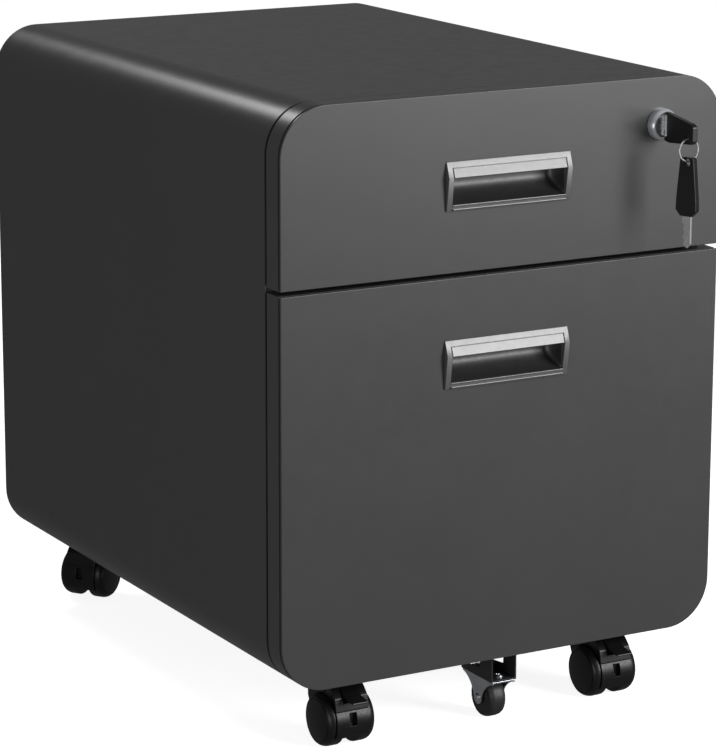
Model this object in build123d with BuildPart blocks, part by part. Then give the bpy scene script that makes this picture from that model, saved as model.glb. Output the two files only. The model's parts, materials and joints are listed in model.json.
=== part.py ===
"""Rolling pedestal cabinet: a wrapped steel body, two drawers, a cam lock and five casters.

Frame: +X to the right seen from the front, -Y towards the user, +Z up, millimetres.
The origin is on the floor, under the middle of the whole object, key included.
"""
from math import cos, radians, sin
import os

from build123d import *

# ---- driving dimensions -------------------------------------------------------------------
WIDTH = 390.0  # outside width of the body
DEPTH = 520.0  # fascia face to back panel
HEIGHT = 509.0  # floor to top
BODY_LOW = 61.0  # underside of the body
CORNER_R = 38.0  # outside radius of the four long corners
KEY_REACH = 46.0  # how far the key stands in front of the fascia
SHEET = 1.0  # body and front sheet
BOX_SHEET = 0.8  # drawer box sheet

RING_REACH = 38.0  # how far the key ring hangs in front of the fascia
SPARE_TURN = 20.0  # the spare key's flat side, turned from facing -X
SPARE_HALF = 9.6  # half the width of the spare key's bow
BOW_HALF_T = 2.5  # half the thickness of both keys' bows
FRONT_REACH = RING_REACH + SPARE_HALF * cos(radians(SPARE_TURN)) + BOW_HALF_T * sin(radians(SPARE_TURN))

FRONT_Y = (FRONT_REACH - DEPTH) / 2  # fascia face
BACK_Y = FRONT_Y + DEPTH
BODY_HEIGHT = HEIGHT - BODY_LOW
BODY_MID_Z = (HEIGHT + BODY_LOW) / 2
INNER_X = WIDTH / 2 - SHEET

# drawer fronts
SKIN_RIM = 1.6  # depth of the front skin's rim
SKIN_EDGE_R = 0.5  # rounded front edge of the skin
GROOVE_DEPTH = 3.0  # shadow groove behind the skin
GROOVE_WIDTH = 2.6
FASCIA_DEPTH = 22.0  # skin, groove and band together
SEAM = 3.0  # gap between a closed fascia and the body
UPPER_LOW = HEIGHT - 136
LOWER_HIGH = UPPER_LOW - 4
PAN_BACK_Y = FRONT_Y + FASCIA_DEPTH
BODY_FRONT_Y = PAN_BACK_Y + SEAM

# back panel, let in from the rear edge
PANEL_Y = BACK_Y - 3.7
REAR_FLANGE = 14.0

# handles
HANDLE_WIDTH = 110.0
HANDLE_HEIGHT = 37.6
HANDLE_BORDER = 4.7
HANDLE_PROUD = 5.0  # lip's lower edge in front of the fascia
LIP_DROP = 12.0  # height of the lip
CUP_DEPTH = 19.0
CUP_ROOF_R = 9.0
UPPER_HANDLE_Z = HEIGHT - 69.5
LOWER_HANDLE_Z = LOWER_HIGH - 66.5

# drawer boxes and slides
BOX_HALF = 168.5  # half the outside width of a drawer box
BOX_BACK_Y = FRONT_Y + 475
UPPER_BOX = (HEIGHT - 124, HEIGHT - 55)  # bottom and top
LOWER_BOX = (78.0, LOWER_HIGH - 28)
HEM = 6.0  # inward hem on the box walls
SLIDE_FRONT_Y = FRONT_Y + 30
SLIDE_LENGTH = 450.0
SLIDE_SPACE = 13.0  # side clearance that a slide fills
SLIDE_T = 1.2
UPPER_SLIDE_Z = HEIGHT - 95
LOWER_SLIDE_Z = 150.0
POST_X = BOX_HALF + SLIDE_SPACE  # inner face of the uprights
POST_DEPTH = 24.0
POST_LOW = BODY_LOW + CORNER_R
POST_HIGH = HEIGHT - 52
POST_FRONT_Y = (FRONT_Y + 27, FRONT_Y + 460)  # front faces of the front and rear uprights

# lock
LOCK_X = 138.5
LOCK_Z = HEIGHT - 36.7
BEZEL_R = 12.5
BEZEL_PROUD = 7.0
PLUG_FACE_R = 9.25
BARREL_R = 9.4
PLUG_R = 6.0
FIT = 0.05  # radial clearance of every running fit
CAM_Y = FRONT_Y + 28.5  # front face of the cam
CAM_T = 2.0
CAM_LENGTH = 33.0
BAR_X = 184.5  # lock bar, inside the right front upright
BAR_T = 2.0
BAR_TRAVEL = 12.0
LUG_T = 3.0
TOP_LUG_Z = LOCK_Z + 2
LATCH_Z = LOWER_HIGH - 31  # underside of the lower front's latch tab
LATCH_X = (172.0, 180.0)
LATCH_END_Y = FRONT_Y + 45
LATCH_HEIGHT = 12.5
LOW_LUG_Z = LATCH_Z + LATCH_HEIGHT + 2.5
BAR_Y = (FRONT_Y + 32, FRONT_Y + 46)
LOW_LUG_Y = (FRONT_Y + 35, FRONT_Y + 39)

# key, ring and spare key
RING_R = 8.7
RING_WIRE_R = 0.6
RING_TOP_Y = FRONT_Y - RING_REACH
RING_TOP_Z = LOCK_Z - 6.2

# casters
WHEEL_R = 21.0
WHEEL_INNER_X = 7.0
WHEEL_OUTER_X = 22.0
CASTER_TRAIL = 14.0
HOOD_R = 22.4
HOOD_T = 1.0
HOOD_HALF = 14.5
HUMP_TOP = 55.5  # height of the hood's raised middle
AXLE_R = 2.5
KINGPIN_R = 4.0
PLATE_T = 2.0
PLATE_SIDE = 38.0
PLATE_SCREW_OFFSET = 13.5
FRONT_CASTER = (122.0, FRONT_Y + 55.5)  # swivel axis, right-hand side
REAR_CASTER = (118.0, FRONT_Y + 494.0)
BRAKE_HALF = 7.0
BRAKE_PIVOT = (-15.0, 45.3)  # ahead of the swivel axis, and height
BRAKE_PIN_R = 1.5

# anti-tip wheel under the lower drawer
TIP_X = 12.0
TIP_Y = FRONT_Y + 39.0
TIP_WHEEL_R = 16.5
TIP_WHEEL_HALF = 7.5
TIP_AXLE_R = 2.0
FORK_HALF = 10.3
FORK_T = 1.3
FORK_HALF_LENGTH = 23.0
FORK_TOP = 35.0
BRACKET_T = 1.5
BRACKET_HALF = 11.6
NOTCH_HALF = 17.0

os.makedirs("parts", exist_ok=True)


def save(builder, node):
    """Label a finished sub-part and write it as one STEP file."""
    builder.part.label = node
    export_step(builder.part, f"parts/{node}.step")


def upright_plane(y_back):
    """XZ plane at y_back: sketch in X and Z, extrude towards the front."""
    return Plane.XZ.offset(-y_back)


def front_outline(low, high, inset):
    """Outline of a front between two heights, inset all round, drawn in the open sketch."""
    with Locations((0, BODY_MID_Z)):
        RectangleRounded(WIDTH - 2 * inset, BODY_HEIGHT - 2 * inset, CORNER_R - inset)
    with Locations((0, (low + high) / 2)):
        Rectangle(WIDTH, high - low - 2 * inset, mode=Mode.INTERSECT)


def body_hole(inset):
    """Cut the body's whole outline, inset all round, out of the open sketch."""
    with Locations((0, BODY_MID_Z)):
        RectangleRounded(
            WIDTH - 2 * inset, BODY_HEIGHT - 2 * inset, CORNER_R - inset, mode=Mode.SUBTRACT
        )


def block(x, y, z, mode=Mode.ADD):
    """Axis-aligned block in the open part, given as three (low, high) pairs."""
    middle = ((x[0] + x[1]) / 2, (y[0] + y[1]) / 2, (z[0] + z[1]) / 2)
    with Locations(middle):
        Box(x[1] - x[0], y[1] - y[0], z[1] - z[0], mode=mode)


# ---- body ---------------------------------------------------------------------------------
def carcass_shell():
    """One sheet wrapped round the body, with holes for the caster screws and a front notch."""
    with BuildPart() as shell:
        with BuildSketch(upright_plane(BACK_Y)):
            with Locations((0, BODY_MID_Z)):
                RectangleRounded(WIDTH, BODY_HEIGHT, CORNER_R)
            body_hole(SHEET)
        extrude(amount=BACK_Y - BODY_FRONT_Y)
        with BuildSketch(upright_plane(PANEL_Y)):
            front_outline(BODY_LOW, HEIGHT, SHEET / 2)
            body_hole(REAR_FLANGE)
            with Locations(*back_screw_places()):
                Circle(2.1, mode=Mode.SUBTRACT)
        extrude(amount=SHEET)
        notch_x = (TIP_X - NOTCH_HALF, TIP_X + NOTCH_HALF)
        notch_y = (BODY_FRONT_Y, TIP_Y + FORK_HALF_LENGTH + 6)
        block(notch_x, notch_y, (BODY_LOW - 1, BODY_LOW + 2), mode=Mode.SUBTRACT)
        with Locations(*[(x, y, BODY_LOW) for x, y in caster_screw_places()]):
            Cylinder(2.1, 6, mode=Mode.SUBTRACT)
    save(shell, "carcass_shell")


def back_screw_places():
    """X and Z of the six screws round the back panel."""
    return [(side * (INNER_X - 7), z) for side in (-1, 1) for z in (125, BODY_MID_Z, 436)]


def back_panel():
    """Flat back panel, let in behind the tube's rear flange."""
    with BuildPart() as panel:
        with BuildSketch(upright_plane(PANEL_Y + SHEET)):
            front_outline(BODY_LOW, HEIGHT, SHEET + 0.2)
            with Locations(*back_screw_places()):
                Circle(2.1, mode=Mode.SUBTRACT)
        extrude(amount=SHEET)
    save(panel, "back_panel")


def back_panel_screws():
    """Six pan-head screws through the back panel into the tube's rear flange."""
    with BuildPart() as screws:
        for place in back_screw_places():
            with BuildSketch(upright_plane(PANEL_Y + SHEET + 2)):
                with Locations(place):
                    Circle(3.8)
            extrude(amount=2)
            with BuildSketch(upright_plane(PANEL_Y + SHEET + 1)):
                with Locations(place):
                    Circle(2.0)
            extrude(amount=8)
    save(screws, "back_panel_screws")


def post_profile(y_front, side):
    """Channel section of an upright, open towards the shell."""
    with Locations((side * (POST_X + INNER_X) / 2, y_front + POST_DEPTH / 2)):
        Rectangle(INNER_X - POST_X, POST_DEPTH)
    inside = INNER_X - POST_X - SHEET
    with Locations((side * (POST_X + SHEET + inside / 2), y_front + POST_DEPTH / 2)):
        Rectangle(inside, POST_DEPTH - 2 * SHEET, mode=Mode.SUBTRACT)


def uprights(side, node):
    """Front and rear upright of one side; the right front one is slotted for the lock bar."""
    with BuildPart() as posts:
        for y_front in POST_FRONT_Y:
            with BuildSketch(Plane.XY.offset(POST_LOW)):
                post_profile(y_front, side)
            extrude(amount=POST_HIGH - POST_LOW)
        if side > 0:
            slot_z = (LOW_LUG_Z - BAR_TRAVEL - 3, LOW_LUG_Z + LUG_T + 3)
            slot_y = (LOW_LUG_Y[0] - 2, LOW_LUG_Y[1] + 2)
            block((POST_X - 1, POST_X + 2), slot_y, slot_z, mode=Mode.SUBTRACT)
    save(posts, node)


def caster_places():
    """Swivel axes of the four casters with the angle each one has swung to."""
    return {
        "front_left": (-FRONT_CASTER[0], FRONT_CASTER[1], 0.0),
        "front_right": (FRONT_CASTER[0], FRONT_CASTER[1], 0.0),
        "rear_left": (-REAR_CASTER[0], REAR_CASTER[1], -54.0),
        "rear_right": (REAR_CASTER[0], REAR_CASTER[1], 35.0),
    }


def caster_screw_places():
    """Centres of all sixteen caster screws."""
    step = PLATE_SCREW_OFFSET
    corners = [(-step, -step), (-step, step), (step, -step), (step, step)]
    return [(x + dx, y + dy) for x, y, _ in caster_places().values() for dx, dy in corners]


def base_rails():
    """Channels inside the bottom that carry the casters, two short ones in front of a long one."""
    spans = [
        ((-152, -90), FRONT_CASTER[1]),
        ((90, 152), FRONT_CASTER[1]),
        ((-152, 152), REAR_CASTER[1]),
    ]
    floor = BODY_LOW + SHEET
    with BuildPart() as rails:
        for x_span, y_mid in spans:
            half = 19.0
            block(x_span, (y_mid - half, y_mid + half), (floor, floor + 10))
            inside = (y_mid - half + 1.5, y_mid + half - 1.5)
            block(x_span, inside, (floor + 2, floor + 10), mode=Mode.SUBTRACT)
        with Locations(*[(x, y, floor) for x, y in caster_screw_places()]):
            Cylinder(2.1, 8, mode=Mode.SUBTRACT)
    save(rails, "base_rails")


def caster_plates():
    """Four mounting plates, each with its kingpin."""
    with BuildPart() as plates:
        for x, y, _ in caster_places().values():
            with BuildSketch(Plane.XY.offset(BODY_LOW - PLATE_T)):
                with Locations((x, y)):
                    RectangleRounded(PLATE_SIDE, PLATE_SIDE, 4)
            extrude(amount=PLATE_T)
            with BuildSketch(Plane.XY.offset(41)):
                with Locations((x, y)):
                    Circle(KINGPIN_R)
            extrude(amount=BODY_LOW - PLATE_T - 41)
        with Locations(*[(x, y, BODY_LOW) for x, y in caster_screw_places()]):
            Cylinder(2.1, 6, mode=Mode.SUBTRACT)
    save(plates, "caster_plates")


def caster_plate_screws():
    """Sixteen pan-head screws up through the plates into the base rails."""
    head_low = BODY_LOW - PLATE_T - 2.2
    with BuildPart() as screws:
        for place in caster_screw_places():
            with BuildSketch(Plane.XY.offset(head_low)):
                with Locations(place):
                    Circle(3.8)
            extrude(amount=2.2)
            with BuildSketch(Plane.XY.offset(head_low)):
                with Locations(place):
                    Circle(2.0)
            extrude(amount=11)
    save(screws, "caster_plate_screws")


# ---- drawer slides ------------------------------------------------------------------------
def slide_pair(z_mid, web, opening, half, front, length, node):
    """Left and right channel of one slide member; web and opening are distances from x = 0."""
    with BuildPart() as pair:
        for side in (-1, 1):
            with BuildSketch(upright_plane(front + length)):
                with Locations((side * (web + opening) / 2, z_mid)):
                    Rectangle(abs(web - opening), 2 * half)
                inward = SLIDE_T if opening > web else -SLIDE_T
                with Locations((side * (web + inward + opening) / 2, z_mid)):
                    Rectangle(abs(web + inward - opening), 2 * (half - SLIDE_T), mode=Mode.SUBTRACT)
            extrude(amount=length)
    save(pair, node)


def drawer_slides(name, z_mid):
    """Outer member on the uprights, middle member, and inner member on the drawer box."""
    slide_pair(z_mid, POST_X, BOX_HALF + 1.4, 22.5, SLIDE_FRONT_Y, SLIDE_LENGTH, f"{name}_slide_outers")
    middle_web = POST_X - 3.1
    middle_length = SLIDE_LENGTH - 10
    slide_pair(z_mid, middle_web, BOX_HALF + 1.9, 19.5, SLIDE_FRONT_Y, middle_length, f"{name}_slide_middles")
    slide_pair(z_mid, BOX_HALF, BOX_HALF + 7, 15.5, SLIDE_FRONT_Y, SLIDE_LENGTH, f"{name}_slide_inners")


# ---- drawer fronts and boxes --------------------------------------------------------------
def front_skin(low, high, handle_z, node, with_lock=False):
    """Outer skin of a drawer front: a shallow pan with a softly rounded edge."""
    rim_back = upright_plane(FRONT_Y + SKIN_RIM)
    with BuildPart() as skin:
        with BuildSketch(rim_back):
            front_outline(low, high, 0)
        extrude(amount=SKIN_RIM)
        fillet(skin.faces().sort_by(Axis.Y)[0].edges(), SKIN_EDGE_R)
        with BuildSketch(rim_back):
            front_outline(low, high, SHEET)
        extrude(amount=SKIN_RIM - SHEET, mode=Mode.SUBTRACT)
        with BuildSketch(rim_back):
            with Locations((0, handle_z)):
                Rectangle(HANDLE_WIDTH - 4, HANDLE_HEIGHT - 4)
            if with_lock:
                with Locations((LOCK_X, LOCK_Z)):
                    Circle(BARREL_R + 0.2)
        extrude(amount=SKIN_RIM, mode=Mode.SUBTRACT)
    save(skin, node)


def inner_pan(low, high, node, with_lock=False, with_latch=False):
    """Inner pan of a drawer front: neck, band and back sheet, with the latch tab when asked."""
    band_front = FRONT_Y + SKIN_RIM + GROOVE_WIDTH
    neck_front = FRONT_Y + SHEET
    with BuildPart() as pan:
        with BuildSketch(upright_plane(PAN_BACK_Y)):
            front_outline(low, high, 0)
        extrude(amount=PAN_BACK_Y - band_front)
        with BuildSketch(upright_plane(band_front)):
            front_outline(low, high, GROOVE_DEPTH)
        extrude(amount=band_front - neck_front)
        with BuildSketch(upright_plane(band_front + SHEET)):
            front_outline(low, high, GROOVE_DEPTH + SHEET)
        extrude(amount=band_front + SHEET - neck_front, mode=Mode.SUBTRACT)
        with BuildSketch(upright_plane(PAN_BACK_Y - SHEET)):
            front_outline(low, high, SHEET)
        extrude(amount=PAN_BACK_Y - band_front - 2 * SHEET, mode=Mode.SUBTRACT)
        if with_lock:
            with BuildSketch(upright_plane(PAN_BACK_Y)):
                with Locations((LOCK_X, LOCK_Z)):
                    Circle(BARREL_R + 0.2)
            extrude(amount=SHEET, mode=Mode.SUBTRACT)
        if with_latch:
            block(LATCH_X, (PAN_BACK_Y, LATCH_END_Y), (LATCH_Z, LATCH_Z + 1.5))
            block(LATCH_X, (LATCH_END_Y - 1.5, LATCH_END_Y), (LATCH_Z, LATCH_Z + LATCH_HEIGHT))
    save(pan, node)


def drawer_box(levels, node):
    """Folded box, open at the top, whose front is the inner pan; the walls have inward hems."""
    low, high = levels
    with BuildPart() as box:
        block((-BOX_HALF, BOX_HALF), (PAN_BACK_Y, BOX_BACK_Y), (low, high))
        inside = BOX_HALF - BOX_SHEET
        hollow_y = (PAN_BACK_Y, BOX_BACK_Y - BOX_SHEET)
        block((-inside, inside), hollow_y, (low + BOX_SHEET, high - BOX_SHEET), mode=Mode.SUBTRACT)
        mouth = inside - HEM
        mouth_y = (PAN_BACK_Y, BOX_BACK_Y - BOX_SHEET - HEM)
        block((-mouth, mouth), mouth_y, (high - BOX_SHEET, high), mode=Mode.SUBTRACT)
    save(box, node)


def file_rails():
    """Two flat rails for hanging folders, from the front pan to the back wall of the lower box."""
    high = LOWER_BOX[1] - 4
    with BuildPart() as rails:
        for side in (-1, 1):
            x_pair = sorted((side * 158.0, side * 156.0))
            block(x_pair, (PAN_BACK_Y, BOX_BACK_Y - BOX_SHEET), (high - 14, high))
    save(rails, "file_rails")


# ---- handles ------------------------------------------------------------------------------
def lip_points(z_mid, depth):
    """Top and bottom of the lip's sloping face, moved inwards by a depth."""
    top = (FRONT_Y - 0.8 + depth, z_mid + HANDLE_HEIGHT / 2)
    bottom = (FRONT_Y - HANDLE_PROUD + depth, z_mid + HANDLE_HEIGHT / 2 - LIP_DROP)
    return top, bottom


def lip_insert_profile(z_mid):
    """Section of the plate let into the lip's face."""
    top, bottom = lip_points(z_mid, 0)
    share = 1 - 4.5 / LIP_DROP
    start = (bottom[0] + (top[0] - bottom[0]) * share, bottom[1] + (top[1] - bottom[1]) * share)
    return [bottom, start, (start[0] + 0.8, start[1]), (bottom[0] + 0.8, bottom[1])]


def handle(z_mid, name):
    """Recessed pull: a moulded frame with its cup, and a plate let into the sloping lip."""
    low = z_mid - HANDLE_HEIGHT / 2
    top, bottom = lip_points(z_mid, 0)
    half = HANDLE_WIDTH / 2
    cup_back = FRONT_Y + CUP_DEPTH
    with BuildPart() as frame:
        with BuildSketch(Plane.YZ.offset(-half)):
            with BuildLine():
                Polyline((FRONT_Y, low), (FRONT_Y - 1.6, low), bottom, top, (FRONT_Y, top[1]), close=True)
            make_face()
        extrude(amount=HANDLE_WIDTH)
        block((-half + 2.4, half - 2.4), (FRONT_Y, cup_back), (low + 2.4, top[1] - 2.4))
        fillet(frame.edges().filter_by(Axis.X).group_by(Axis.Y)[-1], 8)
        inside = half - HANDLE_BORDER
        with BuildSketch(Plane.YZ.offset(-inside)):
            with BuildLine():
                lip_back = (bottom[0] + 1.6, bottom[1])
                roof = (FRONT_Y + 4, top[1] - 4)
                deep = FRONT_Y + CUP_DEPTH - 1.4
                floor = low + HANDLE_BORDER
                Polyline((FRONT_Y - 9, floor), (FRONT_Y - 9, bottom[1]), lip_back, roof)
                Polyline(roof, (deep - CUP_ROOF_R, roof[1]))
                RadiusArc((deep - CUP_ROOF_R, roof[1]), (deep, roof[1] - CUP_ROOF_R), CUP_ROOF_R)
                Line((deep, roof[1] - CUP_ROOF_R), (deep - 3, floor))
                Line((deep - 3, floor), (FRONT_Y - 9, floor))
            make_face()
        extrude(amount=2 * inside, mode=Mode.SUBTRACT)
        with BuildSketch(Plane.YZ.offset(-inside - 0.3)):
            with BuildLine():
                Polyline(*lip_insert_profile(z_mid), close=True)
            make_face()
        extrude(amount=2 * inside + 0.6, mode=Mode.SUBTRACT)
    save(frame, f"{name}_handle_frame")

    with BuildPart() as lip:
        with BuildSketch(Plane.YZ.offset(-inside)):
            with BuildLine():
                Polyline(*lip_insert_profile(z_mid), close=True)
            make_face()
        extrude(amount=2 * inside)
    save(lip, f"{name}_handle_lip")


# ---- lock ---------------------------------------------------------------------------------
def lock_round(radius, y_front, y_back, mode=Mode.ADD):
    """Cylinder on the lock's axis in the open part."""
    with Locations(Location((LOCK_X, (y_front + y_back) / 2, LOCK_Z), (90, 0, 0))):
        Cylinder(radius, y_back - y_front, mode=mode)


def lock_housing():
    """Chromed bezel and threaded barrel."""
    bezel_front = FRONT_Y - BEZEL_PROUD
    with BuildPart() as housing:
        lock_round(BEZEL_R, bezel_front, FRONT_Y)
        chamfer(housing.edges().filter_by(GeomType.CIRCLE).sort_by(Axis.Y)[0], 1.6)
        lock_round(BARREL_R, FRONT_Y, CAM_Y - 1)
        lock_round(PLUG_FACE_R + FIT, bezel_front, FRONT_Y - 1.9, mode=Mode.SUBTRACT)
        lock_round(PLUG_R + FIT, bezel_front, CAM_Y, mode=Mode.SUBTRACT)
    save(housing, "lock_housing")


def lock_nut():
    """Flat hexagon nut that clamps the barrel to the inner pan."""
    with BuildPart() as nut:
        with BuildSketch(upright_plane(PAN_BACK_Y + 4)):
            with Locations((LOCK_X, LOCK_Z)):
                RegularPolygon(13.5, 6)
                Circle(BARREL_R, mode=Mode.SUBTRACT)
        extrude(amount=4)
    save(nut, "lock_nut")


def lock_plug():
    """Turning plug with its face, keyway and rear shaft."""
    face_front = FRONT_Y - BEZEL_PROUD + 0.6
    with BuildPart() as plug:
        lock_round(PLUG_FACE_R, face_front, FRONT_Y - 2)
        lock_round(PLUG_R, FRONT_Y - 2, CAM_Y)
        keyway = (LOCK_X - 1.1, LOCK_X + 1.1)
        block(keyway, (face_front, FRONT_Y + 17), (LOCK_Z - 4.2, LOCK_Z + 4.2), mode=Mode.SUBTRACT)
    save(plug, "lock_plug")


def lock_cam():
    """Flat cam arm, pointing up when unlocked, and the screw that holds it."""
    with BuildPart() as cam:
        with BuildSketch(upright_plane(CAM_Y + CAM_T)):
            with Locations((LOCK_X, LOCK_Z)):
                Circle(9)
            with Locations((LOCK_X, LOCK_Z + (CAM_LENGTH - 6) / 2)):
                Rectangle(12, CAM_LENGTH - 6)
            with Locations((LOCK_X, LOCK_Z + CAM_LENGTH - 6)):
                Circle(6)
            with Locations((LOCK_X, LOCK_Z)):
                Circle(2.1, mode=Mode.SUBTRACT)
        extrude(amount=CAM_T)
    save(cam, "lock_cam")

    with BuildPart() as screw:
        lock_round(2.0, CAM_Y, CAM_Y + CAM_T)
        lock_round(3.8, CAM_Y + CAM_T, CAM_Y + CAM_T + 2.4)
    save(screw, "lock_cam_screw")


def lock_keeper():
    """Plate on the right front upright that the turned cam stands behind."""
    with BuildPart() as keeper:
        front = (POST_FRONT_Y[0] - 1.5, POST_FRONT_Y[0])
        block((LOCK_X + 21.5, 190), front, (POST_HIGH + 1, LOCK_Z + 9))
        block((POST_X, 190), front, (POST_HIGH - 8, POST_HIGH + 1))
    save(keeper, "lock_keeper")


def lock_bar():
    """Upright bar that the cam pushes down, with a lug for the cam and one for the lower front."""
    outer_x = BAR_X + BAR_T
    with BuildPart() as bar:
        block((BAR_X, outer_x), BAR_Y, (LOW_LUG_Z - 14, TOP_LUG_Z + 6))
        block((LOCK_X + 27.5, outer_x), (CAM_Y - 0.5, BAR_Y[0] + 4), (TOP_LUG_Z, TOP_LUG_Z + LUG_T))
        block((LATCH_X[0], outer_x), LOW_LUG_Y, (LOW_LUG_Z, LOW_LUG_Z + LUG_T))
    save(bar, "lock_bar")


# ---- keys ---------------------------------------------------------------------------------
def key_in_lock():
    """Key standing in the lock: flat steel blade with its shoulder, and the plastic bow."""
    shoulder_front = FRONT_Y - 20.0
    face = FRONT_Y - BEZEL_PROUD + 0.6
    bow_start = face - 4.6
    tip = FRONT_Y - KEY_REACH
    with BuildPart() as blade:
        with BuildSketch(Plane.YZ.offset(LOCK_X - 1)):
            with BuildLine():
                Polyline(
                    (face - 0.6, LOCK_Z + 8), (face - 0.6, LOCK_Z + 4), (FRONT_Y + 12, LOCK_Z + 4),
                    (FRONT_Y + 15, LOCK_Z), (FRONT_Y + 12, LOCK_Z - 4), (face - 0.6, LOCK_Z - 4),
                    (face - 0.6, LOCK_Z - 8), (shoulder_front, LOCK_Z - 8), (shoulder_front, LOCK_Z + 8),
                    close=True,
                )
            make_face()
        extrude(amount=2)
    save(blade, "key_blade")

    with BuildPart() as bow:
        with BuildSketch(Plane.YZ.offset(LOCK_X - BOW_HALF_T)):
            with BuildLine():
                Polyline(
                    (face - 1.6, LOCK_Z + 11), (tip + 4, LOCK_Z + 6), (tip, LOCK_Z + 4),
                    (tip, LOCK_Z - 8), (tip + 3, LOCK_Z - 10), (face - 8, LOCK_Z - 12.5),
                    (face - 1.6, LOCK_Z - 11.5), (face - 1.6, LOCK_Z - 8.2), (bow_start, LOCK_Z - 8.2),
                    (bow_start, LOCK_Z + 8.2), (face - 1.6, LOCK_Z + 8.2), close=True,
                )
            make_face()
        extrude(amount=2 * BOW_HALF_T)
        tip_edges = bow.edges().filter_by(Axis.X).sort_by(Axis.Y)[:2]
        fillet(tip_edges, 2)
        with BuildSketch(Plane.YZ.offset(LOCK_X - 1)):
            with Locations(((shoulder_front + bow_start) / 2, LOCK_Z)):
                Rectangle(bow_start - shoulder_front, 16)
        extrude(amount=2, mode=Mode.SUBTRACT)
        with BuildSketch(Plane.YZ.offset(LOCK_X - 3)):
            with Locations((RING_TOP_Y, RING_TOP_Z)):
                Circle(2.3)
        extrude(amount=6, mode=Mode.SUBTRACT)
    save(bow, "key_bow")


def key_ring():
    """Thin wire ring through the key's bow."""
    centre = Vector(LOCK_X, RING_TOP_Y, RING_TOP_Z - RING_R)
    with BuildPart() as ring:
        with Locations(Location(centre, (90, 0, 0))):
            Torus(RING_R, RING_WIRE_R)
    save(ring, "key_ring")


def spare_key():
    """Spare key hanging on the ring, edge-on to the lock's key."""
    hang = Vector(LOCK_X, RING_TOP_Y, RING_TOP_Z - 2 * RING_R)
    turn = radians(SPARE_TURN)
    across = (sin(turn), -cos(turn), 0)
    facing = (-cos(turn), -sin(turn), 0)
    flat = Plane(origin=hang, x_dir=across, z_dir=facing)
    with BuildPart() as bow:
        with BuildSketch(flat.offset(-BOW_HALF_T)):
            with BuildLine():
                Polyline(
                    (-5.2, 3.4), (5.2, 3.4), (6.3, 1.8), (9.2, -28), (SPARE_HALF, -38), (5.2, -42.5),
                    (-5.2, -42.5), (-SPARE_HALF, -38), (-9.2, -28), (-6.3, 1.8), close=True,
                )
            make_face()
            with Locations((0, -0.6)):
                Circle(3.0, mode=Mode.SUBTRACT)
        extrude(amount=2 * BOW_HALF_T)
        with BuildSketch(flat.offset(-0.9)):
            with Locations((0, -36.5)):
                Rectangle(8, 14)
        extrude(amount=1.8, mode=Mode.SUBTRACT)
    save(bow, "spare_key_bow")

    with BuildPart() as blade:
        with BuildSketch(flat.offset(-0.9)):
            with Locations((0, -36.5)):
                Rectangle(8, 12)
            with BuildLine():
                Polyline(
                    (4, -42.5), (4, -64), (0.8, -67.5), (-3, -65), (-1.8, -62), (-3.2, -59), (-1.6, -56),
                    (-3.3, -53), (-2, -50), (-4, -47), (-4, -42.5), close=True,
                )
            make_face()
        extrude(amount=1.8)
    save(blade, "spare_key_blade")


# ---- twin-wheel casters -------------------------------------------------------------------
def caster_plane(place):
    """Vertical plane through a caster's swivel axis: x runs to its rear, y up, z along its axle."""
    x, y, swing = place
    turn = radians(swing)
    return Plane(origin=(x, y, 0), x_dir=(-sin(turn), cos(turn), 0), z_dir=(cos(turn), sin(turn), 0))


def axle_round(plane, radius, start, end, mode=Mode.ADD):
    """Cylinder on a caster's axle between two distances from the caster's middle."""
    with BuildSketch(plane.offset(start)) as disc:
        with Locations((-CASTER_TRAIL, WHEEL_R)):
            Circle(radius)
    extrude(disc.sketch, amount=end - start, mode=mode)


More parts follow.
